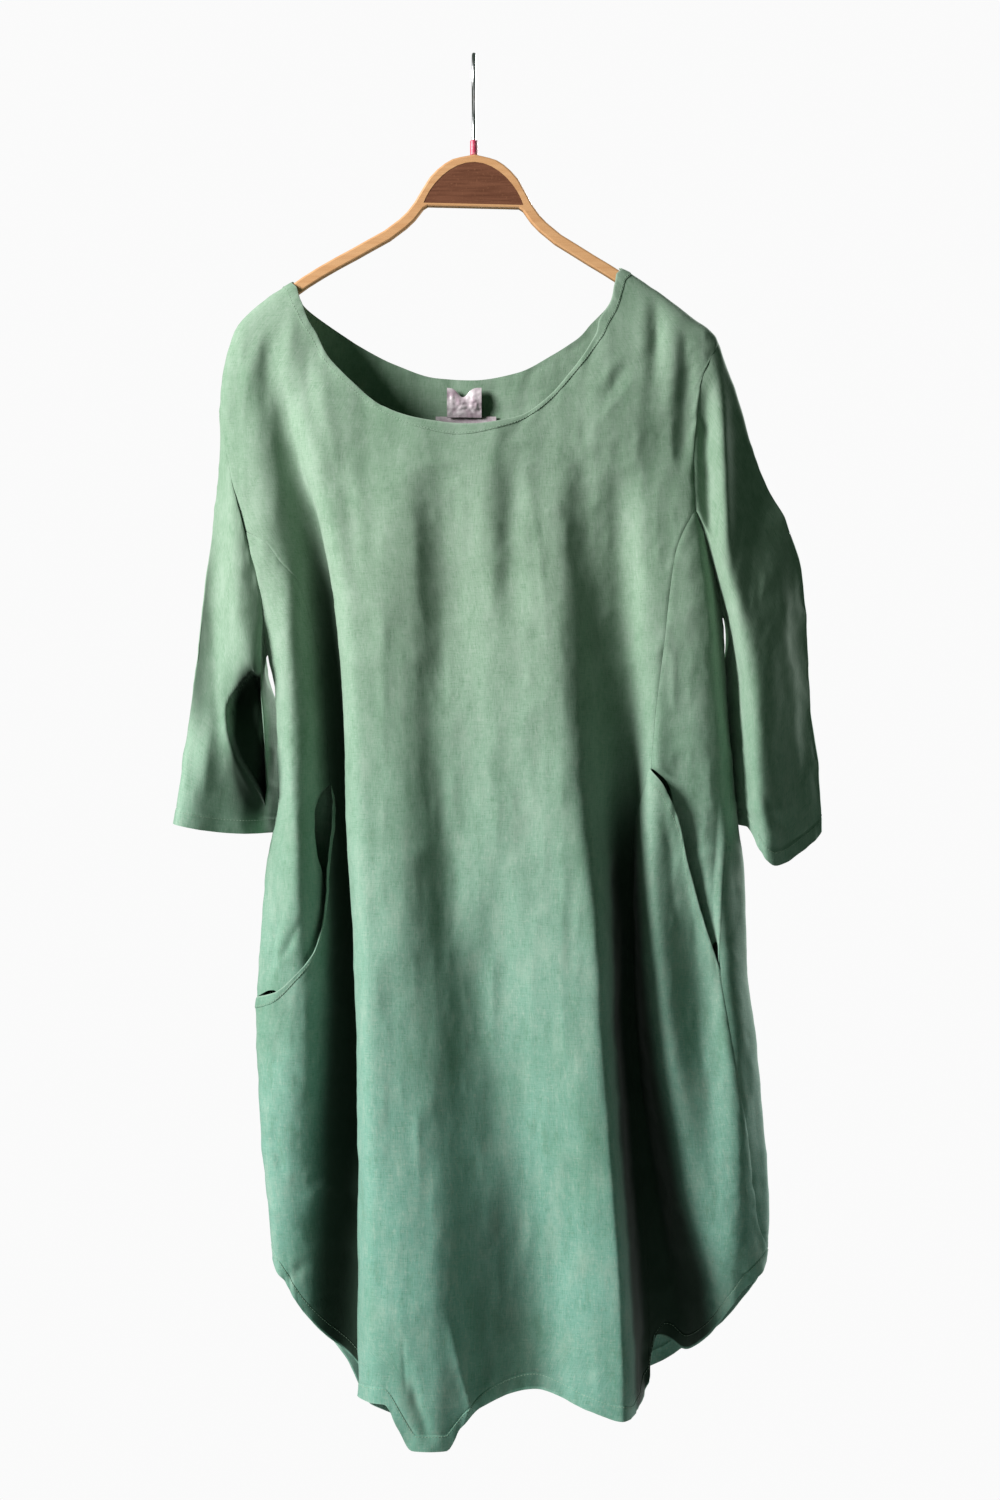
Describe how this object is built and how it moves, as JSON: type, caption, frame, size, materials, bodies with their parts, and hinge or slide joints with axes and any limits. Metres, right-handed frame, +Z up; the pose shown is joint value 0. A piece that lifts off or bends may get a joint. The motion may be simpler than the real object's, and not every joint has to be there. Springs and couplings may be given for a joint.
{
  "type": "linen dress on a hanger",
  "caption": "Loose knee-length linen dress with a wide scoop neck, set-in sleeves, curved side pockets and a tulip hem, hanging on a wooden hanger with a wire hook.",
  "frame": {"origin": "inside top of the hook's curl, where a rail holds it", "axes": "+Z up, the front of the dress faces -Y, +X to the right as the front is seen"},
  "size_m": [0.615, 0.1531, 1.3088],
  "materials": {
    "linen": "washed plain-weave linen, sage green",
    "linen_skirt": "washed plain-weave linen, deeper green",
    "linen_band": "washed linen, folded and topstitched",
    "satin": "satin ribbon, bare",
    "wood": "satin-varnished light beech",
    "brown_plate": "satin brown inlay",
    "chrome": "bright plated wire",
    "pink_collar": "soft plastic sleeve"
  },
  "bodies": {
    "root": {"front_panel": "linen", "side_front_left": "linen", "side_front_right": "linen", "pocket_front_left": "linen_skirt", "pocket_front_right": "linen_skirt", "pocket_band_left": "linen_band", "pocket_band_right": "linen_band", "back_panel": "linen", "sleeve_left": "linen", "sleeve_right": "linen", "neckband_front": "linen_band", "neckband_back": "linen_band", "loop_label": "satin", "care_label": "satin", "hanger_bar": "wood", "hanger_plate": "brown_plate", "hook": "chrome", "hook_sleeve": "pink_collar"}
  },
  "joints": []
}
